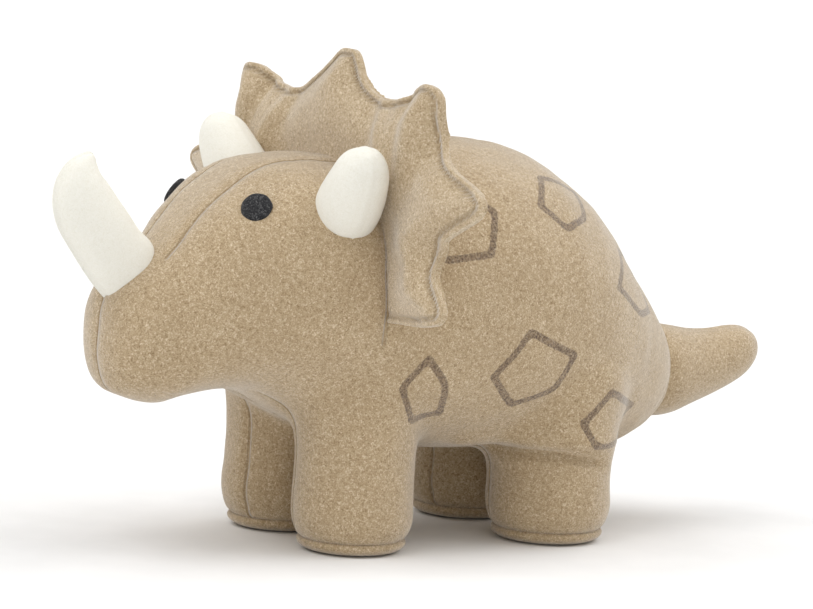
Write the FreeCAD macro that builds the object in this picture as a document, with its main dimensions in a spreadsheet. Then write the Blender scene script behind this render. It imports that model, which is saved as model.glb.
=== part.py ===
import FreeCAD, Part
import math
import os

# Stuffed three-horned dinosaur: felted cloth panels sewn together and filled with fibre.
# Millimetres. The toy faces -Y, its left side is +X, +Z is up, and it stands on z = 0.
# Every driving dimension is a cell of the spreadsheet "Sizes".

doc = FreeCAD.newDocument("StuffedDinosaur")
sheet = doc.addObject("Spreadsheet::Sheet", "Sizes")

# ---------------------------------------------------------------- driving dimensions

GENERAL = {
    "skin": 1.6,                    # thickness of the felted cloth
    "play": 0.5,                    # slack around each foot where the soles are divided
    "nose_room_r": 15.2,            # round room in the head for the nose horn's root
    "nose_room_half": 11.6,
    "brow_room_r": 12.6,            # round room in the head for a brow horn's root
    "brow_room_half": 12.4,
    "tail_room_r": 18.2,            # round room in the rump for the tail's root
    "tail_room_half": 24.0,
    "huge": 400.0,                  # side of the blocks that split the cover
    "leg_top": 66.0,                # the leg's fill ends here, inside the trunk
    "foot_round": 6.0,              # rounding of the foot's lower edge
    "sole_high": 4.5,               # height of the seam between sole and leg
    "front_leg_x": 24.5,
    "front_leg_y": -41.0,
    "front_leg_r": 21.5,
    "rear_leg_x": 27.0,
    "rear_leg_y": 41.0,
    "rear_leg_r": 22.5,
    "belly_half": 25.5,             # the belly panels reach this far from the middle
    "belly_seam_z": 44.0,
    "belly_front_y": -75.0,
    "belly_rear_y": 72.0,
    "gusset_half": 12.2,            # half the width of the strip over the head
    "gusset_front_y": -112.0,
    "gusset_rear_y": -42.0,
    "gusset_low_z": 100.0,
    "eye_r": 5.4,
    "eye_proud": 1.2,               # how far the felt disc stands out of the face
    "eye_sunk": 4.0,                # the disc's blank starts this deep, then the head is cut out
    "eye_core_y": -76.0,            # the disc faces away from this point inside the head
    "eye_core_z": 95.0,
    "eye_x": 26.6,
    "eye_y": -87.0,
    "eye_z": 122.0,
    "brow_base_x": 37.0,
    "brow_base_y": -61.0,
    "brow_turn": 8.0,               # degrees the brow horns point forward of straight out
    "frill_lean": 8.0,              # degrees the frill leans back
    "frill_skin": 1.2,              # the frill's cloth, pressed thin at its seams
    "frill_fill": 3.4,              # thickness of the batting
    "frill_hinge_y": -42.5,
    "frill_hinge_z": 138.5,
    "frill_hole_half": 57.2,        # half width of the neck hole
    "frill_hole_high": 52.0,        # half height of the neck hole
    "tail_hinge_y": 98.0,
    "stitch_r": 0.4,
    "stitch_long": 4.0,
    "stitch_pitch": 6.0,
    "stitch_first_y": -8.0,
    "stitch_count": 6,
}

# Trunk and head: closed rings across Y, each with its top, its underside and half its width.
TRUNK_FIELDS = ("y", "top", "low", "half")
TRUNK = {
    "muzzle_tip": (-132.5, 79.0, 68.0, 5.5),
    "muzzle": (-130.0, 89.5, 60.0, 13.5),
    "nostril": (-124.0, 97.0, 54.0, 20.0),
    "bridge": (-112.0, 105.5, 51.5, 26.5),
    "brow": (-98.0, 122.5, 55.0, 35.5),
    "forehead": (-80.0, 135.0, 54.5, 45.0),
    "crown": (-60.0, 138.0, 44.0, 50.5),
    "neck": (-40.0, 137.0, 38.0, 55.0),
    "shoulder": (-15.0, 141.0, 33.0, 58.0),
    "back": (10.0, 143.0, 30.5, 58.0),
    "loin": (35.0, 137.0, 29.0, 55.5),
    "haunch": (58.0, 121.5, 28.0, 47.0),
    "rump": (76.0, 102.5, 27.5, 36.5),
    "seat": (90.0, 89.0, 31.0, 28.0),
    "tail_seat": (98.0, 76.0, 38.0, 20.0),
    "tail_wall": (101.5, 66.0, 48.0, 10.0),
}

# Tail: round rings across Y, each with the height of its centre and its radius.
TAIL_FIELDS = ("y", "mid", "r")
TAIL = {
    "tail_root": (93.0, 56.0, 16.0),
    "tail_base": (103.0, 57.0, 16.6),
    "tail_thick": (120.0, 57.6, 13.8),
    "tail_thin": (136.0, 59.0, 11.4),
    "tail_neck": (147.0, 61.5, 8.6),
    "tail_end": (153.5, 63.0, 4.0),
}

# Nose horn: ribs in the middle plane from the front edge to the rear edge, and half the
# thickness of the horn at each rib.
RIB_FIELDS = ("front_y", "front_z", "rear_y", "rear_z", "half")
NOSE_HORN = {
    "nose_horn_sunk": (-132.6, 91.2, -111.5, 103.6, 10.2),
    "nose_horn_seam": (-134.5, 93.5, -112.0, 106.5, 10.5),
    "nose_horn_low": (-142.5, 105.0, -119.0, 113.0, 10.0),
    "nose_horn_mid": (-149.4, 117.5, -125.5, 121.0, 8.8),
    "nose_horn_high": (-148.6, 128.5, -130.5, 127.0, 6.5),
    "nose_horn_top": (-143.0, 135.6, -134.5, 131.5, 3.6),
}

# Brow horn, left side: round stations in one upright plane that starts at the horn's base
# and points out and a little forward; reach is the distance out along that plane.
HORN_FIELDS = ("reach", "z", "r")
BROW_HORN = {
    "brow_horn_sunk": (-3.5, 117.5, 10.4),
    "brow_horn_seam": (0.0, 120.5, 11.2),
    "brow_horn_low": (7.0, 126.8, 10.8),
    "brow_horn_mid": (13.0, 132.5, 9.4),
    "brow_horn_high": (18.0, 137.5, 6.8),
    "brow_horn_tip": (20.4, 140.0, 3.6),
}

# Frill outline, left half, from the middle point down to the lower lobe's inner corner:
# distance from the middle and height above the ground before the frill is leaned back.
FRILL_FIELDS = ("x", "z")
FRILL = {
    "crest_tip": (3.5, 173.5),
    "crest_side": (14.0, 166.0),
    "crest_valley": (31.0, 158.5),
    "upper_side": (46.0, 160.5),
    "upper_tip": (60.0, 164.5),
    "upper_corner": (66.5, 158.5),
    "upper_valley": (70.0, 147.0),
    "middle_side": (83.0, 136.5),
    "middle_tip": (97.0, 130.5),
    "middle_corner": (97.0, 124.5),
    "middle_valley": (75.5, 113.0),
    "lower_side": (78.5, 102.0),
    "lower_corner": (84.0, 92.0),
    "lower_round": (78.0, 86.0),
    "lower_inner": (60.0, 83.5),
    "seam_end": (54.0, 84.5),
}

TABLES = (
    (TRUNK_FIELDS, TRUNK),
    (TAIL_FIELDS, TAIL),
    (RIB_FIELDS, NOSE_HORN),
    (HORN_FIELDS, BROW_HORN),
    (FRILL_FIELDS, FRILL),
)


def fill_sheet():
    """Write every dimension into the sheet: its name, its value and its alias."""
    cells = dict(GENERAL)
    for fields, table in TABLES:
        for station, values in table.items():
            for field, value in zip(fields, values):
                cells[station + "_" + field] = value
    for row, (alias, value) in enumerate(cells.items(), start=1):
        sheet.set("A%d" % row, alias)
        sheet.set("B%d" % row, str(value))
        sheet.setAlias("B%d" % row, alias)
    doc.recompute()


def size(alias):
    """The value of one cell of the sheet."""
    return float(sheet.get(alias))


def stations(fields, table):
    """The rows of one table, read back from the sheet."""
    return [[size(name + "_" + field) for field in fields] for name in table]


# ---------------------------------------------------------------- helpers

UP = FreeCAD.Vector(0, 0, 1)
ACROSS = FreeCAD.Vector(1, 0, 0)
ALONG = FreeCAD.Vector(0, 1, 0)
HALF_RING_POINTS = 9


def half_ring(centre, side, rise):
    """Half of an oval ring, closed by a straight line down its middle."""
    points = []
    for step in range(HALF_RING_POINTS):
        turn = math.pi / 2 - math.pi * step / (HALF_RING_POINTS - 1)
        points.append(centre + side * math.cos(turn) + rise * math.sin(turn))
    curve = Part.BSplineCurve()
    curve.interpolate(Points=points, InitialTangent=side, FinalTangent=-side)
    middle = Part.LineSegment(points[-1], points[0])
    return Part.Wire([curve.toShape(), middle.toShape()])


def half_loft(rings, sign=1):
    """A solid through half rings, each given by its centre and its two half axes."""
    wires = [half_ring(centre, side * sign, rise) for centre, side, rise in rings]
    return Part.makeLoft(wires, True)


def shorter(axis, inset):
    return axis * ((axis.Length - inset) / axis.Length)


def shrunk(rings, inset, first_too=False):
    """The same rings, smaller by inset, with the closed end or ends moved in as well."""
    inner = [(centre, shorter(side, inset), shorter(rise, inset)) for centre, side, rise in rings]
    last = rings[-1][0] - rings[-2][0]
    inner[-1] = (rings[-1][0] - last.normalize() * inset,) + inner[-1][1:]
    if first_too:
        first = rings[1][0] - rings[0][0]
        inner[0] = (rings[0][0] + first.normalize() * inset,) + inner[0][1:]
    return inner


def feature(name, shape):
    """A sub-part or a helper whose shape is set here."""
    item = doc.addObject("Part::Feature", name)
    item.Label = name
    item.Shape = shape
    return item


def block(name, expressions):
    """A Part::Box whose size and place are bound to the sheet."""
    item = doc.addObject("Part::Box", name)
    item.Label = name
    for prop, expression in expressions.items():
        item.setExpression(prop, expression)
    return item


def slab(name, low, high):
    """A block between two corners, each corner three expressions."""
    expressions = {}
    for axis, length, start, end in zip("xyz", ("Length", "Width", "Height"), low, high):
        expressions["Placement.Base." + axis] = start
        expressions[length] = "(%s) - (%s)" % (end, start)
    return block(name, expressions)


def fuse(name, items):
    item = doc.addObject("Part::MultiFuse", name)
    item.Label = name
    item.Shapes = items
    return item


def cut_each(name, base, tools):
    """Take several tools out of a shape, one after the other."""
    for number, tool in enumerate(tools, start=1):
        last = number == len(tools)
        base = cut(name if last else "%s_step_%d" % (name, number), base, tool)
    return base


def cut(name, base, tool):
    item = doc.addObject("Part::Cut", name)
    item.Label = name
    item.Base = base
    item.Tool = tool
    return item


def common(name, items):
    item = doc.addObject("Part::MultiCommon", name)
    item.Label = name
    item.Shapes = items
    return item


def mirrored(source, name):
    """The right-hand twin of a left-hand shape."""
    item = doc.addObject("Part::Mirroring", name)
    item.Label = name
    item.Source = source
    item.Normal = ACROSS
    return item


def with_twins(left_parts):
    """Left-hand sub-parts, each followed by its right-hand twin."""
    pairs = []
    for part in left_parts:
        pairs += [part, mirrored(part, part.Label.replace("left", "right"))]
    return pairs


# ---------------------------------------------------------------- trunk, legs and cover

def trunk_rings():
    """The rings of head and body, from the muzzle to the root of the tail."""
    rings = []
    for y, top, low, half in stations(TRUNK_FIELDS, TRUNK):
        centre = FreeCAD.Vector(0, y, (top + low) / 2)
        rings.append((centre, ACROSS * half, UP * ((top - low) / 2)))
    return rings


def leg(name, kind, inset):
    """A round left leg with a rounded foot."""
    post = doc.addObject("Part::Cylinder", name + "_post")
    post.setExpression("Radius", "Sizes.%s_leg_r - %s" % (kind, inset))
    post.setExpression("Height", "Sizes.leg_top - %s" % inset)
    post.setExpression("Placement.Base.x", "Sizes.%s_leg_x" % kind)
    post.setExpression("Placement.Base.y", "Sizes.%s_leg_y" % kind)
    post.setExpression("Placement.Base.z", inset)
    doc.recompute()
    lowest = min(edge.BoundBox.ZMax for edge in post.Shape.Edges)
    foot_edge = 0
    for number, edge in enumerate(post.Shape.Edges, start=1):
        if edge.BoundBox.ZMax < lowest + 0.001:
            foot_edge = number
    foot = doc.addObject("Part::Fillet", name)
    foot.Label = name
    foot.Base = post
    rounding = size("foot_round")
    foot.Edges = [(foot_edge, rounding, rounding)]
    return foot


LEFT_LEGS = ("front", "rear")


def build_cover(openings):
    """The left half of the sewn cover, with the roots of horns and tail left open."""
    rings = trunk_rings()
    outer = [feature("trunk_outside_left", half_loft(rings))]
    inner = [feature("trunk_inside_left", half_loft(shrunk(rings, size("skin"), True)))]
    for kind in LEFT_LEGS:
        outer.append(leg("leg_outside_" + kind, kind, "0"))
        inner.append(leg("leg_inside_" + kind, kind, "Sizes.skin"))
    outside = fuse("cover_outside_left", outer)
    closed = cut("cover_closed_left", outside, fuse("cover_inside_left", inner))
    left_rooms = [tool for tool in openings if "right" not in tool.Label]
    return outside, inner, cut_each("cover_left", closed, left_rooms)


def build_panels(cover):
    """Divide the cover along its seams into soles, belly, side and head strip."""
    huge = "Sizes.huge"
    sole_zone = slab("sole_zone", ("-" + huge, "-" + huge, "-" + huge),
                     (huge, huge, "Sizes.sole_high"))
    upper = cut("cover_above_soles", cover, sole_zone)
    panels = []
    for kind in LEFT_LEGS:
        reach = "(Sizes.%s_leg_r + Sizes.play)" % kind
        y = "Sizes.%s_leg_y" % kind
        zone = slab("sole_zone_" + kind,
                    ("0", y + " - " + reach, "-" + huge),
                    (huge, y + " + " + reach, "Sizes.sole_high"))
        panels.append(common("sole_%s_left" % kind, [cover, zone]))
    belly_zone = slab("belly_zone", ("-Sizes.belly_half", "Sizes.belly_front_y", "0"),
                      ("Sizes.belly_half", "Sizes.belly_rear_y", "Sizes.belly_seam_z"))
    strip_zone = slab("strip_zone",
                      ("-Sizes.gusset_half", "Sizes.gusset_front_y", "Sizes.gusset_low_z"),
                      ("Sizes.gusset_half", "Sizes.gusset_rear_y", huge))
    panels.append(common("belly_panel_left", [upper, belly_zone]))
    panels.append(cut("side_panel_left", upper,
                      fuse("belly_and_strip", [belly_zone, strip_zone])))
    half_strip = common("head_gusset_half", [upper, strip_zone])
    strip = fuse("head_gusset", [half_strip, mirrored(half_strip, "head_gusset_twin")])
    return with_twins(panels) + [strip]


def build_fill(inner, openings):
    """The fibre fill of the head and body, and one wad in each leg."""
    trunk = inner[0]
    wads = []
    for leg_fill, kind in zip(inner[1:], LEFT_LEGS):
        wads.append(cut("leg_stuffing_%s_left" % kind, leg_fill, trunk))
    both = fuse("body_fill", [trunk, mirrored(trunk, "trunk_inside_right")])
    return [cut_each("body_stuffing", both, openings)] + with_twins(wads)


# ---------------------------------------------------------------- horns and tail

def nose_horn_rings():
    """The nose horn's ribs, in the middle plane."""
    rings = []
    for front_y, front_z, rear_y, rear_z, half in stations(RIB_FIELDS, NOSE_HORN):
        front = FreeCAD.Vector(0, front_y, front_z)
        rear = FreeCAD.Vector(0, rear_y, rear_z)
        rings.append(((front + rear) / 2, ACROSS * half, (front - rear) / 2))
    return rings


def brow_horn_rings():
    """The left brow horn's stations, in an upright plane through its base."""
    turn = math.radians(size("brow_turn"))
    out = FreeCAD.Vector(math.cos(turn), -math.sin(turn), 0)
    fore = FreeCAD.Vector(-math.sin(turn), -math.cos(turn), 0)
    base = FreeCAD.Vector(size("brow_base_x"), size("brow_base_y"), 0)
    rows = stations(HORN_FIELDS, BROW_HORN)
    centres = [base + out * reach + UP * z for reach, z, radius in rows]
    rings = []
    for place, centre in enumerate(centres):
        before = centres[max(place - 1, 0)]
        after = centres[min(place + 1, len(centres) - 1)]
        rise = (after - before).normalize().cross(fore)
        radius = rows[place][2]
        rings.append((centre, fore * radius, rise * radius))
    return rings


def tail_rings():
    """The tail's round rings."""
    rows = stations(TAIL_FIELDS, TAIL)
    return [(FreeCAD.Vector(0, y, mid), ACROSS * r, UP * r) for y, mid, r in rows]


def hollow_half(name, rings, sign=1):
    """Half of a stuffed piece: its cloth, and the half of the fill behind it."""
    fill = feature(name + "_fill", half_loft(shrunk(rings, size("skin")), sign))
    blank = feature(name + "_blank", half_loft(rings, sign))
    return cut(name, blank, fill), fill


def build_horns_and_tail():
    """Stuffed horns and tail, each of two halves of cloth around a wad of fibre."""
    parts = []
    for rings, cloth, wad in ((nose_horn_rings(), "nose_horn_left", "nose_horn_stuffing"),
                              (tail_rings(), "tail_cover_left", "tail_stuffing")):
        half, fill = hollow_half(cloth, rings)
        parts += with_twins([half])
        parts.append(fuse(wad, [fill, mirrored(fill, cloth + "_fill_twin")]))
    front, front_fill = hollow_half("brow_horn_left_front", brow_horn_rings())
    rear, rear_fill = hollow_half("brow_horn_left_rear", brow_horn_rings(), -1)
    wad = fuse("brow_horn_left_stuffing", [front_fill, rear_fill])
    return parts + with_twins([front, rear, wad])


def room(name, centre, axis):
    """A round room about a joint: its round wall lies on the axis that the joint turns on."""
    kind = name.split("_")[0]
    item = doc.addObject("Part::Cylinder", name)
    item.Label = name
    item.setExpression("Radius", "Sizes.%s_room_r" % kind)
    item.setExpression("Height", "2 * Sizes.%s_room_half" % kind)
    start = centre - axis * size(kind + "_room_half")
    item.Placement = FreeCAD.Placement(start, FreeCAD.Rotation(UP, axis))
    return item


def build_openings():
    """The room that the horns and the tail need to flex, taken out of cover and fill.

    Horns bend about the middle of their seam; the tail bends just inside its root.
    """
    nose = nose_horn_rings()[1][0]
    left = brow_horn_rings()[1][0]
    right = FreeCAD.Vector(-left.x, left.y, left.z)
    tail = FreeCAD.Vector(0, size("tail_hinge_y"), size("tail_base_mid"))
    return [
        room("nose_room", nose, ACROSS),
        room("brow_room_left", left, ALONG),
        room("brow_room_right", right, ALONG),
        room("tail_room", tail, UP),
    ]


# ---------------------------------------------------------------- frill

def frill_outline():
    """The fan's outline with its points and lobes, closed by the neck hole's line."""
    left = [FreeCAD.Vector(x, 0, z) for x, z in stations(FRILL_FIELDS, FRILL)]
    right = [FreeCAD.Vector(-point.x, 0, point.z) for point in reversed(left)]
    curve = Part.BSplineCurve()
    curve.interpolate(Points=right + left)
    across = Part.LineSegment(left[-1], right[0])
    return Part.Face(Part.Wire([curve.toShape(), across.toShape()]))


def build_frill():
    """Front panel, batting and back panel, one behind the other, leaned back together."""
    skin = size("frill_skin")
    fill = size("frill_fill")
    hinge = FreeCAD.Vector(0, size("frill_hinge_y"), size("frill_hinge_z"))
    face = frill_outline()
    low = FreeCAD.Vector(0, 0, hinge.z - size("frill_hole_high"))
    hole = Part.Ellipse(low, size("frill_hole_half"), size("frill_hole_high"))
    hole.Axis = -ALONG
    hole_face = Part.Face(Part.Wire([hole.toShape()]))
    layers = (("frill_front_panel", -skin - fill / 2, skin),
              ("frill_batting", -fill / 2, fill),
              ("frill_back_panel", fill / 2, skin))
    parts = []
    for name, start, thick in layers:
        sheet_of_cloth = face.cut(hole_face).extrude(ALONG * thick)
        sheet_of_cloth.translate(FreeCAD.Vector(0, hinge.y + start, 0))
        sheet_of_cloth.rotate(hinge, ACROSS, -size("frill_lean"))
        solids = sheet_of_cloth.Solids
        parts.append(feature(name, solids[0]))
    return parts


# ---------------------------------------------------------------- eyes and closing stitches

def surface_point(outside, start, aim):
    """Where a line from inside the body along aim comes out of its surface."""
    line = Part.LineSegment(start, start + aim * size("huge")).toShape()
    inside = outside.Shape.common(line)
    return max((vertex.Point for vertex in inside.Vertexes), key=lambda point: point.dot(aim))


def build_eyes(outside):
    """A round felt disc on each side of the face, lying on the head's curve."""
    middle = FreeCAD.Vector(0, size("eye_core_y"), size("eye_core_z"))
    toward = FreeCAD.Vector(size("eye_x"), size("eye_y"), size("eye_z"))
    outward = (toward - middle).normalize()
    centre = surface_point(outside, middle, outward)
    depth = size("eye_sunk")
    disc = doc.addObject("Part::Cylinder", "eye_blank")
    disc.setExpression("Radius", "Sizes.eye_r")
    disc.setExpression("Height", "Sizes.eye_sunk + Sizes.eye_proud")
    disc.Placement = FreeCAD.Placement(centre - outward * depth, FreeCAD.Rotation(UP, outward))
    return with_twins([cut("eye_left", disc, outside)])


def build_stitches(outside):
    """The hand-sewn stitches that close the belly seam after filling."""
    blanks = []
    for number in range(int(size("stitch_count"))):
        y = size("stitch_first_y") + number * size("stitch_pitch")
        low = surface_point(outside, FreeCAD.Vector(0, y, size("belly_seam_z")), -UP)
        blank = doc.addObject("Part::Cylinder", "stitch_blank_%d" % (number + 1))
        blank.setExpression("Radius", "Sizes.stitch_r")
        blank.setExpression("Height", "Sizes.stitch_long / 2")
        blank.Placement = FreeCAD.Placement(low, FreeCAD.Rotation(UP, ACROSS))
        blanks.append(blank)
    half = cut("stitch_halves", fuse("stitch_blanks", blanks), outside)
    return [fuse("closing_stitches", [half, mirrored(half, "stitch_twins")])]


# ---------------------------------------------------------------- build, check and write

def build():
    fill_sheet()
    openings = build_openings()
    outside, inner, cover = build_cover(openings)
    doc.recompute()
    parts = []
    steps = (
        (build_panels, (cover,)),
        (build_fill, (inner, openings)),
        (build_horns_and_tail, ()),
        (build_frill, ()),
        (build_eyes, (outside,)),
        (build_stitches, (outside,)),
    )
    for step, inputs in steps:
        parts += step(*inputs)
        doc.recompute()
    return parts


def check(parts):
    """Stop if any object failed or any sub-part isn't a sound solid."""
    for item in doc.Objects:
        if "Invalid" in item.State or "Error" in item.State:
            raise RuntimeError("%s did not build: %s" % (item.Label, item.State))
    for part in parts:
        shape = part.Shape
        if shape.isNull() or not shape.isValid() or not shape.Solids:
            raise RuntimeError("%s is not a valid solid" % part.Label)
        print("%-26s solids %d volume %9.1f" % (part.Label, len(shape.Solids), shape.Volume))


def write(parts):
    os.makedirs("parts", exist_ok=True)
    for part in parts:
        part.Shape.exportStep(os.path.join("parts", part.Label + ".step"))


sub_parts = build()
check(sub_parts)
write(sub_parts)
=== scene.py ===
import math

import bmesh
import bpy
import numpy as np
from mathutils import Matrix, Vector, noise
from mathutils.bvhtree import BVHTree


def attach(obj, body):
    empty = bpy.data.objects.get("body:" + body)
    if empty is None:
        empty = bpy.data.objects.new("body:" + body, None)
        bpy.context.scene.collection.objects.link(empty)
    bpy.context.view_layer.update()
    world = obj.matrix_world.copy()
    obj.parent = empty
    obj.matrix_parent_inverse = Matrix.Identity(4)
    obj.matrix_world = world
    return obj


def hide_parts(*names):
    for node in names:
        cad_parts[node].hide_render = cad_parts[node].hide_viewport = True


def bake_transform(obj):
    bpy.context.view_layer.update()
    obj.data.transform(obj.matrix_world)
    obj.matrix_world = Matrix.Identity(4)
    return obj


# Stuffed three-horned dinosaur in heathered tan felt. Metres; the toy faces -Y, its left
# side is +X. Shapes are written in millimetres and turned into metres by MM.

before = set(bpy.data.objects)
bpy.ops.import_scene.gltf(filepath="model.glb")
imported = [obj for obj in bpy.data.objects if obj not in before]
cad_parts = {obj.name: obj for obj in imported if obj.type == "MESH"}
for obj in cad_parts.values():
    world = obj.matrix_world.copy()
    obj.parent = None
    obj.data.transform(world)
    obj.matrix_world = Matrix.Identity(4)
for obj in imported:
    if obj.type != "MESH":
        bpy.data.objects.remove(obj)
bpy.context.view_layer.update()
MM = 0.001


# ---------------------------------------------------------------- camera

def aim_camera():
    """A long lens from the toy's front left, a little above it, rolled slightly."""
    azimuth, elevation, roll = math.radians(57.0), math.radians(6.5), math.radians(2.9)
    target = Vector((0.0, -6.8, 82.9)) * MM
    back = Vector((math.sin(azimuth) * math.cos(elevation),
                   -math.cos(azimuth) * math.cos(elevation), math.sin(elevation)))
    right = Vector((math.cos(azimuth), math.sin(azimuth), 0.0))
    up = back.cross(right)
    rolled_right = right * math.cos(roll) + up * math.sin(roll)
    rolled_up = up * math.cos(roll) - right * math.sin(roll)
    data = bpy.data.cameras.new("camera")
    data.sensor_width = 36.0
    data.lens = 152.5
    data.clip_start, data.clip_end = 0.05, 60.0
    camera = bpy.data.objects.new("camera", data)
    bpy.context.scene.collection.objects.link(camera)
    turn = Matrix((rolled_right, rolled_up, back)).transposed()
    camera.matrix_world = Matrix.Translation(target + back * 1.24) @ turn.to_4x4()
    bpy.context.scene.camera = camera


aim_camera()


# ---------------------------------------------------------------- mesh helpers

def through(rows, steps):
    """Rows of numbers made dense: a smooth curve that passes through every row."""
    rows = np.array(rows, float)
    ends = np.vstack([2 * rows[0] - rows[1], rows, 2 * rows[-1] - rows[-2]])
    dense = []
    for k in range(len(rows) - 1):
        a, b, c, d = ends[k:k + 4]
        for t in np.linspace(0, 1, steps, endpoint=False):
            dense.append(0.5 * (2 * b + (c - a) * t + (2 * a - 5 * b + 4 * c - d) * t ** 2
                                + (3 * b - a - 3 * c + d) * t ** 3))
    dense.append(rows[-1])
    return np.array(dense)


def oval(turns, power):
    """Unit oval, rounder than an ellipse where power is over 2."""
    c, s = np.cos(turns), np.sin(turns)
    return np.sign(c) * np.abs(c) ** (2 / power), np.sign(s) * np.abs(s) ** (2 / power)


def make_mesh(name, points, faces):
    mesh = bpy.data.meshes.new(name)
    mesh.from_pydata([tuple(p) for p in points], [], faces)
    mesh.update()
    piece = bpy.data.objects.new(name, mesh)
    bpy.context.scene.collection.objects.link(piece)
    return piece


def skin_rings(name, rings):
    """A closed tube through rings of points, with a point at the middle of each end."""
    count, around = len(rings), len(rings[0])
    points = [p for ring in rings for p in ring]
    points += [np.mean(rings[0], axis=0), np.mean(rings[-1], axis=0)]
    faces = []
    for k in range(count - 1):
        for i in range(around):
            j = (i + 1) % around
            faces.append((k * around + i, k * around + j,
                          (k + 1) * around + j, (k + 1) * around + i))
    for i in range(around):
        j = (i + 1) % around
        faces.append((j, i, count * around))
        faces.append(((count - 1) * around + i, (count - 1) * around + j, count * around + 1))
    piece = make_mesh(name, points, faces)
    outward(piece)
    return piece


def outward(piece):
    """Turn every face of a closed mesh outwards."""
    work = bmesh.new()
    work.from_mesh(piece.data)
    bmesh.ops.recalc_face_normals(work, faces=work.faces)
    work.to_mesh(piece.data)
    work.free()


def merge(name, pieces):
    """One object from several closed shells."""
    work = bmesh.new()
    for piece in pieces:
        work.from_mesh(piece.data)
        bpy.data.objects.remove(piece)
    mesh = bpy.data.meshes.new(name)
    work.to_mesh(mesh)
    work.free()
    piece = bpy.data.objects.new(name, mesh)
    bpy.context.scene.collection.objects.link(piece)
    return piece


def applied(piece):
    """Fix the piece's modifiers into its mesh."""
    graph = bpy.context.evaluated_depsgraph_get()
    mesh = bpy.data.meshes.new_from_object(piece.evaluated_get(graph))
    piece.modifiers.clear()
    piece.data = mesh
    return piece


def remeshed(piece, voxel):
    change = piece.modifiers.new("remesh", "REMESH")
    change.mode = "VOXEL"
    change.voxel_size = voxel * MM
    return applied(piece)


def points_of(piece):
    co = np.zeros(len(piece.data.vertices) * 3)
    piece.data.vertices.foreach_get("co", co)
    return co.reshape(-1, 3) / MM


def normals_of(piece):
    normals = np.zeros(len(piece.data.vertices) * 3)
    piece.data.vertices.foreach_get("normal", normals)
    return normals.reshape(-1, 3)


def set_points(piece, co):
    piece.data.vertices.foreach_set("co", (co * MM).ravel())
    piece.data.update()


def relax(piece, rounds, weight=None, shrink=False):
    """Even out the surface. Without shrink every second pass swells it back again."""
    co = points_of(piece)
    edges = np.zeros(len(piece.data.edges) * 2, int)
    piece.data.edges.foreach_get("vertices", edges)
    edges = edges.reshape(-1, 2)
    ends = np.concatenate([edges[:, 0], edges[:, 1]])
    others = np.concatenate([edges[:, 1], edges[:, 0]])
    around = np.maximum(np.bincount(ends, minlength=len(co)), 1)[:, None]
    pull = np.ones(len(co)) if weight is None else weight
    for k in range(rounds):
        near = co[others]
        mean = np.stack([np.bincount(ends, near[:, a], len(co)) for a in range(3)], 1) / around
        step = 0.5 if shrink or k % 2 == 0 else -0.52
        co = co + (mean - co) * (step * pull)[:, None]
    set_points(piece, co)
    return piece


def shade_smooth(piece):
    piece.data.shade_smooth()
    return piece


def hump(values, middle, width):
    """1 at the middle, falling smoothly to 0 over about width."""
    return np.exp(-((values - middle) / width) ** 2)


def ramp(values, low, high):
    """0 below low, 1 above high, smooth between."""
    t = np.clip((values - low) / (high - low), 0, 1)
    return t * t * (3 - 2 * t)


def to_line(co, start, end):
    """Distance of each point from the straight line between two points."""
    start, end = np.array(start, float), np.array(end, float)
    along = end - start
    t = np.clip(((co - start) @ along) / (along @ along), 0, 1)
    return np.linalg.norm(co - (start + t[:, None] * along), axis=1)


# ---------------------------------------------------------------- materials

class Nodes:
    """Short calls for building a material's nodes."""

    def __init__(self, name):
        self.material = bpy.data.materials.new(name)
        self.material.use_nodes = True
        self.tree = self.material.node_tree
        self.shader = self.tree.nodes["Principled BSDF"]
        where = self.tree.nodes.new("ShaderNodeTexCoord")
        self.place = where.outputs["Object"]

    def feed(self, socket, value):
        if isinstance(value, bpy.types.NodeSocket):
            self.tree.links.new(value, socket)
        else:
            socket.default_value = value

    def math(self, operation, *values, clamp=False):
        node = self.tree.nodes.new("ShaderNodeMath")
        node.operation = operation
        node.use_clamp = clamp
        for socket, value in zip(node.inputs, values):
            self.feed(socket, value)
        return node.outputs[0]

    def vector(self, operation, *values):
        node = self.tree.nodes.new("ShaderNodeVectorMath")
        node.operation = operation
        for socket, value in zip(node.inputs, values):
            self.feed(socket, value)
        return node.outputs["Value" if operation == "DOT_PRODUCT" else "Vector"]

    def axes(self, place):
        node = self.tree.nodes.new("ShaderNodeSeparateXYZ")
        self.feed(node.inputs[0], place)
        return node.outputs

    def noise(self, scale, detail=2.0, rough=0.55, distort=0.0, place=None):
        node = self.tree.nodes.new("ShaderNodeTexNoise")
        self.feed(node.inputs["Vector"], self.place if place is None else place)
        node.inputs["Scale"].default_value = scale
        node.inputs["Detail"].default_value = detail
        node.inputs["Roughness"].default_value = rough
        node.inputs["Distortion"].default_value = distort
        return node.outputs["Fac"]

    def span(self, value, low, high, start=0.0, end=1.0):
        node = self.tree.nodes.new("ShaderNodeMapRange")
        node.interpolation_type = "SMOOTHSTEP"
        for key, number in zip(("Value", "From Min", "From Max", "To Min", "To Max"),
                               (value, low, high, start, end)):
            self.feed(node.inputs[key], number)
        return node.outputs[0]

    def mix(self, share, first, second):
        node = self.tree.nodes.new("ShaderNodeMix")
        node.data_type = "RGBA"
        for key, value in ((0, share), (6, first), (7, second)):
            self.feed(node.inputs[key], value)
        return node.outputs[2]

    def bump(self, height, distance, strength=1.0):
        node = self.tree.nodes.new("ShaderNodeBump")
        node.inputs["Distance"].default_value = distance
        node.inputs["Strength"].default_value = strength
        self.feed(node.inputs["Height"], height)
        return node.outputs[0]


def colour(red, green, blue):
    """A colour given as shown on screen, 0 to 255, made linear."""
    return tuple(((c / 255 + 0.055) / 1.055) ** 2.4 for c in (red, green, blue)) + (1.0,)


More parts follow.
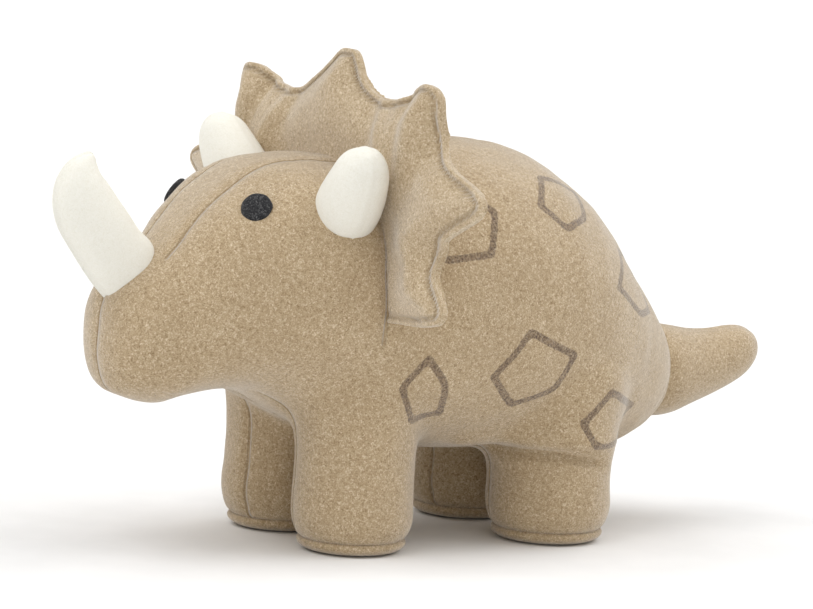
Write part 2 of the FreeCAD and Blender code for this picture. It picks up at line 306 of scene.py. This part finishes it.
def felt(name, base, dark, light, grain=1.15, sheen=0.85, bumpy=1.0, seams=None, print_mask=None,
         ink=None):
    """Pressed wool felt: a mix of dark and pale fibres, a soft nap and a faint sheen."""
    n = Nodes(name)
    fleck = n.noise(1750 * grain, 2.0, 0.6, 0.5)
    clump = n.noise(760 * grain, 2.0, 0.5, 1.0)
    cloud = n.noise(60.0, 3.0, 0.5)
    blend = n.math("ADD", n.math("MULTIPLY", fleck, 0.6), n.math("MULTIPLY", clump, 0.4))
    shade = n.mix(n.span(blend, 0.33, 0.5), dark, base)
    shade = n.mix(n.span(blend, 0.5, 0.68), shade, light)
    hair = n.noise(1300 * grain, 1.0, 0.5, 3.0)
    thread = n.math("ABSOLUTE", n.math("SUBTRACT", hair, 0.5))
    pale = n.math("MULTIPLY", n.span(thread, 0.0, 0.03, 1.0, 0.0), n.span(clump, 0.5, 0.62))
    shade = n.mix(n.math("MULTIPLY", pale, 0.6), shade, light)
    shade = n.mix(n.span(cloud, 0.35, 0.65, 0.10, 0.0), shade, dark)
    height = n.math("ADD", n.math("MULTIPLY", fleck, 0.6), n.math("MULTIPLY", clump, 0.5))
    height = n.math("ADD", height, n.math("MULTIPLY", thread, -0.5))
    if print_mask is not None:
        worn = n.span(n.noise(1300.0, 2.0, 0.6), 0.3, 0.62, 1.0, 0.45)
        shade = n.mix(n.math("MULTIPLY", print_mask(n), worn), shade, ink)
    if seams is not None:
        groove = seams(n)
        shade = n.mix(n.math("MULTIPLY", groove, 0.45), shade, dark)
        height = n.math("SUBTRACT", height, n.math("MULTIPLY", groove, 2.2))
    n.feed(n.shader.inputs["Base Color"], shade)
    n.shader.inputs["Roughness"].default_value = 0.95
    n.shader.inputs["Specular IOR Level"].default_value = 0.15
    n.shader.inputs["Sheen Weight"].default_value = sheen
    n.shader.inputs["Sheen Roughness"].default_value = 0.4
    n.shader.inputs["Sheen Tint"].default_value = (1.0, 0.97, 0.93, 1.0)
    n.feed(n.shader.inputs["Normal"], n.bump(height, 0.00035 * bumpy, 0.9))
    return n.material


TAN = (colour(182, 160, 128), colour(143, 120, 88), colour(221, 205, 178))
# The body's tan made a little lighter for the frill: painted light, standing in for the brighter light
# that falls on the frill
TAN_PAINTED_LIGHTER = (colour(190, 169, 138), colour(152, 130, 99), colour(227, 212, 187))
WHITE = (colour(238, 236, 226), colour(233, 230, 218), colour(242, 240, 232))


def seam_line(n, value, middle, width=0.0005):
    """A thin line where value crosses middle."""
    away = n.math("ABSOLUTE", n.math("SUBTRACT", value, middle))
    return n.span(away, width * 0.3, width * 1.9, 1.0, 0.0)


def between(n, value, low, high, soft=0.002):
    rise = n.span(value, low, low + soft)
    fall = n.span(value, high - soft, high, 1.0, 0.0)
    return n.math("MULTIPLY", rise, fall)


GUSSET_HALF = 0.0122


def body_seams(n):
    """Head strip, chest and back seams, and the seam up the inside of each leg."""
    x, y, z = n.axes(n.place)
    side = n.math("ABSOLUTE", x)
    strip = n.math("MULTIPLY", seam_line(n, side, GUSSET_HALF),
                   n.math("MULTIPLY", between(n, y, -0.114, -0.040), n.span(z, 0.098, 0.102)))
    middle = seam_line(n, side, 0.0)
    back = n.math("MULTIPLY", middle, n.math("MULTIPLY", n.span(y, -0.036, -0.034),
                                              n.span(z, 0.06, 0.062)))
    chest = n.math("MULTIPLY", middle, n.math("MULTIPLY", n.span(y, -0.060, -0.058, 1.0, 0.0),
                                               n.span(z, 0.09, 0.092, 1.0, 0.0)))
    inner_x = n.span(y, -0.01, 0.01, 0.0165, 0.019)
    leg = n.math("MULTIPLY", seam_line(n, n.math("SUBTRACT", side, inner_x), 0.0),
                 n.span(z, 0.050, 0.058, 1.0, 0.0))
    neck_rise = n.math("SUBTRACT", n.math("MAXIMUM", z, 0.1), 0.12)
    neck_y = n.math("SUBTRACT", y, n.math("MULTIPLY", neck_rise, 0.14))
    neck = n.math("MULTIPLY", seam_line(n, neck_y, -0.0452, 0.0006),
                  n.math("MULTIPLY", n.span(z, 0.074, 0.077), n.span(side, 0.018, 0.024)))
    both = n.math("MAXIMUM", n.math("MAXIMUM", strip, back), n.math("MAXIMUM", chest, leg))
    return n.math("MAXIMUM", both, neck)


def rim_seam(n):
    """The line of stitching just inside a sewn edge, kept on the mesh as it is made."""
    node = n.tree.nodes.new("ShaderNodeAttribute")
    node.attribute_name = "seam"
    return node.outputs["Fac"]


# ---------------------------------------------------------------- body cover

# Rings of head and body: place along the toy, top, underside, half width and squareness.
TRUNK = (
    (-132.0, 77.0, 69.0, 4.5, 2.2),
    (-131.0, 84.5, 62.5, 10.0, 2.3),
    (-128.6, 91.0, 57.4, 15.5, 2.3),
    (-124.0, 96.5, 54.2, 20.5, 2.25),
    (-112.0, 105.5, 51.4, 27.0, 2.2),
    (-98.0, 122.0, 54.5, 35.5, 2.2),
    (-80.0, 134.5, 54.5, 45.0, 2.15),
    (-60.0, 138.0, 45.0, 50.5, 2.1),
    (-40.0, 137.0, 38.0, 54.5, 2.1),
    (-15.0, 142.0, 33.0, 57.5, 2.1),
    (10.0, 144.0, 31.0, 58.0, 2.1),
    (35.0, 138.4, 30.0, 56.0, 2.1),
    (58.0, 122.5, 29.0, 48.5, 2.1),
    (76.0, 102.5, 29.0, 37.0, 2.1),
    (90.0, 89.5, 33.0, 28.5, 2.05),
    (99.0, 78.0, 38.5, 20.0, 2.0),
    (104.0, 70.0, 44.0, 12.0, 2.0),
)

# Legs: name, side distance, place along the toy, radius, how much wider where it joins.
LEGS = (("front", 24.5, -41.0, 21.5, 0.5), ("rear", 27.0, 41.0, 22.5, 3.0))
LEG_PROFILE = ((3.6, -7.0), (4.4, -4.0), (5.4, -2.4), (8.0, -0.9), (13.0, 0.2), (22.0, 0.2),
               (34.0, -0.3), (46.0, 0.2), (60.0, 1.5), (70.0, -1.5))
AROUND = 72
TURNS = np.linspace(0, 2 * np.pi, AROUND, endpoint=False)


def trunk_mesh():
    rings = []
    for y, top, low, half, power in through(TRUNK, 5):
        c, s = oval(TURNS, power)
        mid, rise = (top + low) / 2, (top - low) / 2
        rings.append(np.stack([c * half, np.full(AROUND, y), mid + s * rise], 1) * MM)
    return skin_rings("trunk", rings)


def leg_mesh(x, y, radius, flare):
    rings = []
    for z, grow in through(LEG_PROFILE, 3):
        r = radius + grow + flare * ramp(z, 18.0, 48.0)
        rings.append(np.stack([x + np.cos(TURNS) * r, y + np.sin(TURNS) * r,
                               np.full(AROUND, z)], 1) * MM)
    return skin_rings("leg", rings)


def body_cover():
    """Head, body and legs as one stuffed cover, drawn in along its seams."""
    shells = [trunk_mesh()]
    for name, x, y, radius, flare in LEGS:
        shells += [leg_mesh(x, y, radius, flare), leg_mesh(-x, y, radius, flare)]
    cover = remeshed(merge("body_cover", shells), 1.5)
    co = points_of(cover)
    side = np.abs(co[:, 0])
    joint = np.zeros(len(co))
    for name, x, y, radius, flare in LEGS:
        reach = np.hypot(side - x, co[:, 1] - y)
        joint = np.maximum(joint, hump(reach, radius, 7.0))
    joint *= ramp(co[:, 2], 14.0, 26.0) * (1 - ramp(co[:, 2], 55.0, 70.0))
    relax(cover, 40, joint, shrink=True)
    relax(cover, 12)
    press_seams(cover)
    relax(cover, 2)
    return shade_smooth(cover)


# The fold where the body sits over the rear leg: place along the toy and height.
CREASE = ((0.0, 28.0), (4.5, 32.0), (18.0, 33.8), (31.0, 33.4), (44.0, 31.0), (53.0, 28.4))


def press_seams(cover):
    """Soft hollows along seams and creases, and a few shallow dents in the filling."""
    co, out = points_of(cover), normals_of(cover)
    side = np.abs(co[:, 0])
    push = np.zeros(len(co))
    head_top = ramp(co[:, 2], 98, 108) * ramp(co[:, 1], -118, -112) * (1 - ramp(co[:, 1], -46, -40))
    push -= 0.7 * hump(side, 12.2, 1.8) * head_top
    back = ramp(co[:, 1], -38, -30) * ramp(co[:, 2], 60, 75)
    push -= 0.6 * hump(side, 0.0, 1.8) * back
    chest = (1 - ramp(co[:, 1], -62, -56)) * (1 - ramp(co[:, 2], 86, 92))
    push -= 0.6 * hump(side, 0.0, 1.8) * chest
    inner = 16.5 + 2.5 * ramp(co[:, 1], -10, 10)
    push -= 0.7 * hump(side, inner, 1.7) * (1 - ramp(co[:, 2], 50, 58)) * ramp(co[:, 2], 6, 9)
    flat = co * [0, 1, 1]
    crease = np.min([to_line(flat, (0, *a), (0, *b)) for a, b in zip(CREASE, CREASE[1:])], axis=0)
    over = ramp(side, 18, 30)
    push -= 3.2 * hump(crease, 0.0, 1.7) * over * (1 - ramp(co[:, 1], 44, 56))
    above = ramp(co[:, 2] - 34.0, 1.0, 4.0) * hump(crease, 6.0, 4.0)
    push += 1.6 * above * over * (1 - ramp(np.abs(co[:, 1] - 28.0), 28.0, 36.0))
    neck = co[:, 1] + 45.2 - 0.14 * (np.maximum(co[:, 2], 100.0) - 120.0)
    push -= 1.3 * hump(neck, 0.0, 2.6) * ramp(co[:, 2], 72, 82) * ramp(side, 10, 22)
    lumps = np.array([noise.noise(Vector(spot) / 26.0) + 0.35 * noise.noise(Vector(spot) / 9.0)
                      for spot in co])
    push += 1.0 * lumps * ramp(co[:, 2], 8, 20)
    set_points(cover, co + out * push[:, None])


# ---------------------------------------------------------------- soles

def sole(name, x, y, radius, body):
    """The round piece under a foot, pinched in where it is sewn to the leg."""
    profile = ((0.0, -14.0), (0.0, -10.0), (0.3, -6.8), (1.1, -4.2), (2.4, -2.6), (3.7, -2.3),
               (4.6, -3.1), (5.1, -5.0), (5.2, -10.0))
    rings = []
    for z, grow in through(profile, 3):
        r = radius + grow
        rings.append(np.stack([x + np.cos(TURNS) * r, y + np.sin(TURNS) * r,
                               np.full(AROUND, max(z, 0.0))], 1) * MM)
    piece = shade_smooth(skin_rings("foot_" + name, rings))
    piece.data.materials.append(SOLE_FELT)
    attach(piece, body)
    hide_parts(name)


# ---------------------------------------------------------------- frill

HINGE = np.array([0.0, -42.5, 138.5])
LEAN = math.radians(8.0)

# Outline of the left half from the middle point to the neck: side distance and height.
FRILL = (
    (0.0, 174.8), (4.5, 174.2), (9.0, 170.4), (15.0, 165.0), (22.5, 160.6), (31.0, 158.6),
    (41.0, 160.0), (50.0, 163.0), (58.0, 165.4), (65.2, 165.0), (69.0, 160.6), (68.4, 152.5),
    (71.0, 144.8),
    (78.5, 139.0), (88.0, 134.8), (95.5, 131.8), (98.6, 128.2), (96.0, 124.2), (88.0, 119.5),
    (79.5, 114.0), (75.6, 107.5), (77.0, 101.5), (81.8, 96.0), (85.0, 91.0), (83.0, 86.8),
    (75.0, 85.0), (65.0, 84.2), (57.5, 84.0),
)
NECK_HALF, NECK_HIGH, NECK_MID = 51.5, 48.5, 86.5

# Folds in the frill: a line, how wide the fold is, and how far it comes forward.
FOLDS = (
    ((0, 172), (0, 140), 11.0, 2.2),
    ((62, 163), (40, 128), 9.0, 3.0),
    ((31, 160), (28, 138), 8.0, -2.6),
    ((95, 128), (62, 112), 5.5, 3.0),
    ((69, 148), (50, 118), 7.0, -2.4),
    ((76, 110), (60, 104), 5.0, -2.2),
    ((78, 88), (66, 104), 8.0, 1.8),
    ((31, 157), (41, 134), 4.0, 2.6),
    ((47, 160), (49, 136), 4.0, -2.2),
    ((62, 162), (54, 134), 4.5, 1.6),
)


def outline_distance(co, line):
    """Distance in the plane from each point to a closed line."""
    best = np.full(len(co), 1e9)
    for a, b in zip(line, np.roll(line, -1, axis=0)):
        along = b - a
        t = np.clip(((co - a) @ along) / max(along @ along, 1e-9), 0, 1)
        best = np.minimum(best, np.linalg.norm(co - (a + t[:, None] * along), axis=1))
    return best


def frill_piece():
    """A three-layer fan, sewn round its edge and stuffed, with soft folds."""
    half = through(FRILL, 4)
    mirror = half[::-1][:-1] * [-1, 1]
    outer = np.vstack([mirror, half])
    turns = np.linspace(-0.06, np.pi + 0.06, 50)
    neck = np.stack([np.cos(turns) * NECK_HALF, NECK_MID + np.sin(turns) * NECK_HIGH], 1)
    loop = np.vstack([outer, neck])
    thick = 4.0
    work = bmesh.new()
    front = [work.verts.new((x * MM, -thick * MM, z * MM)) for x, z in loop]
    rear = [work.verts.new((x * MM, thick * MM, z * MM)) for x, z in loop]
    work.faces.new(front)
    work.faces.new(rear[::-1])
    for k in range(len(loop)):
        j = (k + 1) % len(loop)
        work.faces.new((front[j], front[k], rear[k], rear[j]))
    bmesh.ops.triangulate(work, faces=work.faces[:])
    bmesh.ops.recalc_face_normals(work, faces=work.faces[:])
    mesh = bpy.data.meshes.new("frill")
    work.to_mesh(mesh)
    work.free()
    piece = bpy.data.objects.new("frill", mesh)
    bpy.context.scene.collection.objects.link(piece)
    remeshed(piece, 0.9)
    relax(piece, 6)
    co = points_of(piece)
    flat = co[:, [0, 2]]
    rim = outline_distance(flat, np.vstack([outer, outer[-1:]]))
    neck_gap = np.hypot(flat[:, 0] / NECK_HALF, (flat[:, 1] - NECK_MID) / NECK_HIGH)
    sewn = 0.42 + 0.58 * ramp((neck_gap - 1.0) * 50.0, 3.0, 15.0)
    deep = 1.5 + (3.2 * ramp(rim, 0.5, 13.0)) * sewn - 0.8 * hump(rim, 2.3, 0.8)
    away = co[:, 1] / thick * deep
    fold = np.zeros(len(co))
    for start, end, wide, forward in FOLDS:
        for mirror_x in (1, -1):
            if mirror_x < 0 and start[0] == 0:
                continue
            a = np.array([start[0] * mirror_x, start[1]], float)
            b = np.array([end[0] * mirror_x, end[1]], float)
            t = np.clip(((flat - a) @ (b - a)) / ((b - a) @ (b - a)), 0, 1)
            gap = np.linalg.norm(flat - (a + t[:, None] * (b - a)), axis=1)
            fold -= forward * np.exp(-(gap / wide) ** 2) * (1 - 0.55 * t)
    away = away + fold + 3.4 * (1 - ramp(flat[:, 1], 84.0, 140.0))
    away = away + 3.6 * ramp(np.abs(flat[:, 0]), 74.0, 98.0) * ramp(flat[:, 1], 108.0, 118.0)
    co[:, 0] += 6.0 * hump(flat[:, 0], 0.0, 20.0) * ramp(flat[:, 1], 158.0, 174.0)
    co[:, 0] += 5.0 * ramp(-flat[:, 0], 40.0, 58.0) * ramp(flat[:, 1], 146.0, 160.0)
    rise = co[:, 2] - HINGE[2]
    place = np.stack([co[:, 0],
                      HINGE[1] + rise * math.sin(LEAN) + away * math.cos(LEAN),
                      HINGE[2] + rise * math.cos(LEAN) - away * math.sin(LEAN)], 1)
    set_points(piece, place)
    relax(piece, 3)
    line = piece.data.attributes.new("seam", "FLOAT", "POINT")
    line.data.foreach_set("value", (1.4 * hump(rim, 2.3, 0.6)).astype(np.float32))
    return shade_smooth(piece)


# ---------------------------------------------------------------- horns, tail, eyes

def tube_piece(name, rings, ridge_turns=(), ridge=0.0, power=2.0, around=64):
    """A stuffed piece from rings (centre, side axis, rise axis), with sewn edges."""
    turns = np.linspace(0, 2 * np.pi, around, endpoint=False)
    c, s = oval(turns, power)
    out = []
    for centre, side, rise in rings:
        grow = np.ones(around)
        for ridge_turn in ridge_turns:
            gap = np.abs((turns - ridge_turn + np.pi) % (2 * np.pi) - np.pi)
            size = max(np.linalg.norm(rise), 1.0)
            grow += ridge / size * (np.exp(-(gap * size / 0.7) ** 2)
                                    - 0.9 * np.exp(-((gap * size - 1.6) / 0.8) ** 2))
        out.append((centre + np.outer(c * grow, side) + np.outer(s * grow, rise)) * MM)
    return shade_smooth(skin_rings(name, out))


# Nose horn ribs in the middle plane: front edge (y, z), rear edge (y, z), half thickness.
NOSE_HORN = (
    (-127.5, 86.0, -111.5, 98.0, 9.0),
    (-134.2, 93.0, -113.0, 106.0, 9.8),
    (-142.0, 103.5, -118.8, 111.6, 10.2),
    (-147.4, 111.8, -122.6, 116.6, 9.9),
    (-149.6, 119.8, -127.0, 122.0, 8.8),
    (-149.0, 127.0, -131.0, 127.2, 7.2),
    (-146.0, 132.8, -133.4, 129.9, 5.4),
    (-142.8, 135.6, -134.3, 131.6, 4.0),
    (-139.9, 136.9, -134.9, 133.4, 2.8),
    (-137.9, 137.4, -135.5, 135.4, 1.5),
    (-136.9, 137.4, -136.2, 136.8, 0.5),
)

# Left brow horn: reach out from its base, height, radius across, radius up.
BROW_HORN = (
    (-5.0, 116.4, 9.6, 9.6),
    (-1.0, 120.2, 11.0, 11.0),
    (3.4, 124.6, 11.4, 11.2),
    (7.2, 128.8, 11.0, 10.7),
    (10.6, 133.0, 10.2, 9.8),
    (13.6, 136.8, 9.2, 8.8),
    (16.0, 139.4, 7.6, 7.2),
    (17.8, 141.4, 5.5, 5.2),
    (18.9, 142.6, 3.2, 3.0),
    (19.3, 143.1, 1.0, 0.9),
)
BROW_BASE = np.array([38.0, -59.4])
BROW_TURN = math.radians(9.0)

# Tail: place along the toy, middle height, half width, half height.
TAIL = (
    (94.0, 56.0, 15.5, 16.0),
    (104.0, 56.0, 17.2, 17.4),
    (112.0, 56.0, 16.2, 16.6),
    (121.0, 56.8, 14.2, 14.4),
    (130.0, 58.2, 12.6, 12.8),
    (139.0, 60.4, 11.2, 11.5),
    (145.4, 61.9, 9.6, 9.8),
    (150.0, 62.9, 6.8, 7.2),
    (152.6, 63.4, 3.8, 4.2),
    (153.6, 63.5, 1.0, 1.2),
)


def nose_horn():
    rings = []
    for front_y, front_z, rear_y, rear_z, half in through(NOSE_HORN, 6):
        front = np.array([0, front_y, front_z])
        rear = np.array([0, rear_y, rear_z])
        rings.append(((front + rear) / 2, np.array([half, 0, 0]), (front - rear) / 2))
    return tube_piece("nose_horn_felt", rings, (np.pi / 2, 3 * np.pi / 2), 0.5, 2.25)


def brow_horn(name, sign):
    out = np.array([math.cos(BROW_TURN), -math.sin(BROW_TURN), 0])
    fore = np.array([-math.sin(BROW_TURN), -math.cos(BROW_TURN), 0])
    rows = through(BROW_HORN, 6)
    centres = [np.append(BROW_BASE, 0) + out * row[0] + np.array([0, 0, row[1]]) for row in rows]
    rings = []
    for k, row in enumerate(rows):
        way = centres[min(k + 1, len(rows) - 1)] - centres[max(k - 1, 0)]
        rise = np.cross(way / np.linalg.norm(way), fore)
        flip = np.array([sign, 1, 1])
        sewn = np.array([0.6, 0.8, -0.8]) if sign > 0 else np.array([3.4, 3.0, 3.2])
        rings.append((centres[k] * flip + sewn, fore * row[2] * flip, rise * row[3] * flip))
    return tube_piece(name, rings, (np.pi / 2, 3 * np.pi / 2), 0.18, 2.1)


def tail_piece():
    rings = []
    for y, mid, half, high in through(TAIL, 6):
        rings.append((np.array([0, y, mid]), np.array([half, 0, 0]), np.array([0, 0, high])))
    return tube_piece("tail_felt", rings, (np.pi / 2, 3 * np.pi / 2), 0.3, 2.0, 80)


def eye(name, tree, sign):
    """A felt disc, a little domed, lying on the face."""
    start = Vector((0, -76, 95)) * MM
    aim = Vector((27.4 * sign, -11.4, 25.0)).normalized()
    place, out, index, gap = tree.ray_cast(start + aim * 0.2, -aim)
    turn = Vector((out.x, out.y, out.z * 0.75)).to_track_quat("Z", "Y").to_matrix()
    rings = []
    for r, h in ((5.2, -2.0), (5.5, -0.4), (5.45, 0.5), (5.1, 1.0), (4.3, 1.25), (2.6, 1.45),
                 (0.8, 1.55)):
        ring = []
        for t in np.linspace(0, 2 * np.pi, 56, endpoint=False):
            wobble = 1 + 0.012 * math.sin(3 * t + 1) + 0.008 * math.sin(7 * t)
            spot = Vector((math.cos(t) * r * wobble, math.sin(t) * r * wobble, h)) * MM
            ring.append(np.array(place + turn @ spot))
        rings.append(np.array(ring))
    return shade_smooth(skin_rings(name, rings))


# ---------------------------------------------------------------- printed pentagons

# Corners of the outlines printed on each flank: place along the toy and height.
PENTAGONS = (
    ((-3, 121), (-8, 107), (-26, 105), (-35, 114), (-15, 129)),
    ((25, 132), (18, 123), (28, 115), (40, 118), (44, 126)),
    ((60, 106), (51, 94), (67, 83), (79, 83), (75, 93)),
    ((8, 80), (29, 71), (23, 58), (8, 53), (-4, 64)),
    ((-31, 71), (-22, 62), (-18, 50), (-31, 48), (-38, 60)),
    ((48, 57), (69, 49), (59, 38), (43, 37), (37, 46)),
)
LINE_HALF = 0.00135
CORNER_ROUND = 0.003


def pentagon_planes(tree):
    """For each outline: a point on the cloth, the cloth's slope, and its sides."""
    planes = []
    for corners in PENTAGONS:
        hits = []
        slope = Vector((0, 0, 0))
        for y, z in corners:
            place, out, index, gap = tree.ray_cast(Vector((0.3, y * MM, z * MM)), Vector((-1, 0, 0)))
            hits.append(place)
            slope += out
        slope.normalize()
        middle = sum(hits, Vector((0, 0, 0))) / len(hits)
        sides = []
        for a, b in zip(hits, hits[1:] + hits[:1]):
            way = slope.cross(b - a).normalized()
            if way.dot(a - middle) < 0:
                way = -way
            sides.append((way, way.dot(a - middle)))
        planes.append((middle, slope, sides))
    return planes


def pentagon_mask(planes):
    """Node maker for the printed lines, the same on both flanks."""
    def build(n):
        x, y, z = n.axes(n.place)
        both = n.tree.nodes.new("ShaderNodeCombineXYZ")
        n.feed(both.inputs[0], n.math("ABSOLUTE", x))
        n.feed(both.inputs[1], y)
        n.feed(both.inputs[2], z)
        blur = n.math("MULTIPLY", n.math("SUBTRACT", n.noise(700.0, 2.0), 0.5), 0.0009)
        total = None
        for middle, slope, sides in planes:
            from_middle = n.vector("SUBTRACT", both.outputs[0], tuple(middle))
            edge = None
            for way, reach in sides:
                gap = n.math("SUBTRACT", n.vector("DOT_PRODUCT", from_middle, tuple(way)), reach)
                edge = gap if edge is None else n.math("SMOOTH_MAX", edge, gap, CORNER_ROUND)
            off = n.math("ABSOLUTE", n.math("ADD", edge, blur))
            line = n.span(off, LINE_HALF - 0.0003, LINE_HALF + 0.0002, 1.0, 0.0)
            near = n.span(n.math("ABSOLUTE", n.vector("DOT_PRODUCT", from_middle, tuple(slope))),
                          0.012, 0.016, 1.0, 0.0)
            line = n.math("MULTIPLY", line, near)
            total = line if total is None else n.math("MAXIMUM", total, line)
        return total
    return build


# ---------------------------------------------------------------- build the toy

def finish_piece(piece, material, body, replaced):
    piece.data.materials.clear()
    piece.data.materials.append(material)
    if body:
        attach(piece, body)
    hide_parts(*replaced)


SOLE_FELT = felt("sole_felt", *TAN)
cover = body_cover()
graph_tree = BVHTree.FromObject(cover, bpy.context.evaluated_depsgraph_get())
BODY_FELT = felt("body_felt", *TAN, seams=body_seams,
                 print_mask=pentagon_mask(pentagon_planes(graph_tree)), ink=colour(96, 78, 66))
PLAIN_FELT = felt("tail_felt", *TAN)
# The frill felt takes the lighter tan, which is painted light
FRILL_FELT = felt("frill_felt", *TAN_PAINTED_LIGHTER, seams=rim_seam)
HORN_FELT = felt("horn_felt", *WHITE, grain=1.2, sheen=0.2, bumpy=0.6)
EYE_FELT = felt("eye_felt", colour(48, 48, 50), colour(30, 30, 32), colour(104, 104, 104),
                grain=1.3, sheen=0.1, bumpy=0.7)

finish_piece(cover, BODY_FELT, "torso",
             ("side_panel_left", "side_panel_right", "belly_panel_left", "belly_panel_right",
              "head_gusset", "body_stuffing", "leg_stuffing_front_left",
              "leg_stuffing_front_right", "leg_stuffing_rear_left", "leg_stuffing_rear_right"))
for kind, leg_x, leg_y, leg_r, flare in LEGS:
    for side_name, sign in (("left", 1), ("right", -1)):
        sole("sole_%s_%s" % (kind, side_name), leg_x * sign, leg_y, leg_r, "torso")

frill = frill_piece()
finish_piece(frill, FRILL_FELT, None,
             ("frill_front_panel", "frill_batting", "frill_back_panel"))
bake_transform(frill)

tail = tail_piece()
finish_piece(tail, PLAIN_FELT, None,
             ("tail_cover_left", "tail_cover_right", "tail_stuffing"))
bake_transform(tail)

nose = nose_horn()
finish_piece(nose, HORN_FELT, None,
             ("nose_horn_left", "nose_horn_right", "nose_horn_stuffing"))
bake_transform(nose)

for side_name, sign in (("left", 1), ("right", -1)):
    body = "brow_horn_" + side_name
    horn = brow_horn(body + "_felt", sign)
    finish_piece(horn, HORN_FELT, None,
                 (body + "_front", body + "_rear", body + "_stuffing"))
    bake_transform(horn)
    disc = eye("eye_disc_" + side_name, graph_tree, sign)
    finish_piece(disc, EYE_FELT, "torso", ("eye_" + side_name,))


# ---------------------------------------------------------------- belly stitches

def stitches():
    """Short thread bars across the seam under the belly."""
    rings_done = []
    for k in range(6):
        y = (-8 + 6 * k) * MM
        place, out, index, gap = graph_tree.ray_cast(Vector((0, y, -0.1)), Vector((0, 0, 1)))
        bar = []
        for t in np.linspace(-1, 1, 9):
            lift = 0.35 * math.sqrt(max(1 - t * t, 0)) - 0.15
            centre = np.array([t * 2.0, y / MM + 0.5 * t, place.z / MM - lift])
            r = 0.36 * (1 - 0.35 * t * t)
            turns = np.linspace(0, 2 * np.pi, 12, endpoint=False)
            ring = centre + np.outer(np.cos(turns) * r, [0, 1, 0]) + np.outer(np.sin(turns) * r, [0, 0, 1])
            bar.append(ring * MM)
        rings_done.append(skin_rings("stitch", bar))
    return shade_smooth(merge("belly_stitches", rings_done))


THREAD = felt("thread", colour(168, 146, 113), colour(140, 118, 86), colour(200, 180, 150),
              grain=2.5, sheen=0.1, bumpy=0.5)
finish_piece(stitches(), THREAD, "torso", ("closing_stitches",))


# ---------------------------------------------------------------- floor and light

def studio():
    """A plain pale floor, a soft light high behind the toy and an even sky."""
    floor = make_mesh("floor", [(-8, -8, 0), (8, -8, 0), (8, 8, 0), (-8, 8, 0)], [(0, 1, 2, 3)])
    n = Nodes("floor_paint")
    grain = n.noise(30.0, 3.0)
    n.feed(n.shader.inputs["Base Color"],
           n.mix(n.span(grain, 0.3, 0.7), (0.86, 0.86, 0.86, 1), (0.89, 0.89, 0.89, 1)))
    n.shader.inputs["Roughness"].default_value = 0.9
    n.shader.inputs["Specular IOR Level"].default_value = 0.1
    floor.data.materials.append(n.material)
    world = bpy.data.worlds.new("sky")
    bpy.context.scene.world = world
    world.use_nodes = True
    tree = world.node_tree
    where = tree.nodes.new("ShaderNodeTexCoord")
    split = tree.nodes.new("ShaderNodeSeparateXYZ")
    fade = tree.nodes.new("ShaderNodeMapRange")
    tree.links.new(where.outputs["Generated"], split.inputs[0])
    tree.links.new(split.outputs[2], fade.inputs["Value"])
    for key, number in (("From Min", 0.06), ("From Max", 0.10), ("To Min", 1.0), ("To Max", 0.36)):
        fade.inputs[key].default_value = number
    tree.links.new(fade.outputs[0], tree.nodes["Background"].inputs[1])
    tree.nodes["Background"].inputs[0].default_value = (1.0, 0.99, 0.975, 1)
    for name, power, angle, azimuth, height in (
            ("key", 1.8, 60, -15, 60), ("rear", 1.6, 60, 165, 52), ("fill", 0.42, 70, 72, 28)):
        data = bpy.data.lights.new(name, "SUN")
        data.energy = power
        data.angle = math.radians(angle)
        lamp = bpy.data.objects.new(name, data)
        bpy.context.scene.collection.objects.link(lamp)
        a, e = math.radians(azimuth), math.radians(height)
        back = Vector((math.sin(a) * math.cos(e), -math.cos(a) * math.cos(e), math.sin(e)))
        lamp.rotation_euler = back.to_track_quat("Z", "Y").to_euler()
    bpy.context.scene.view_settings.view_transform = "Standard"


studio()
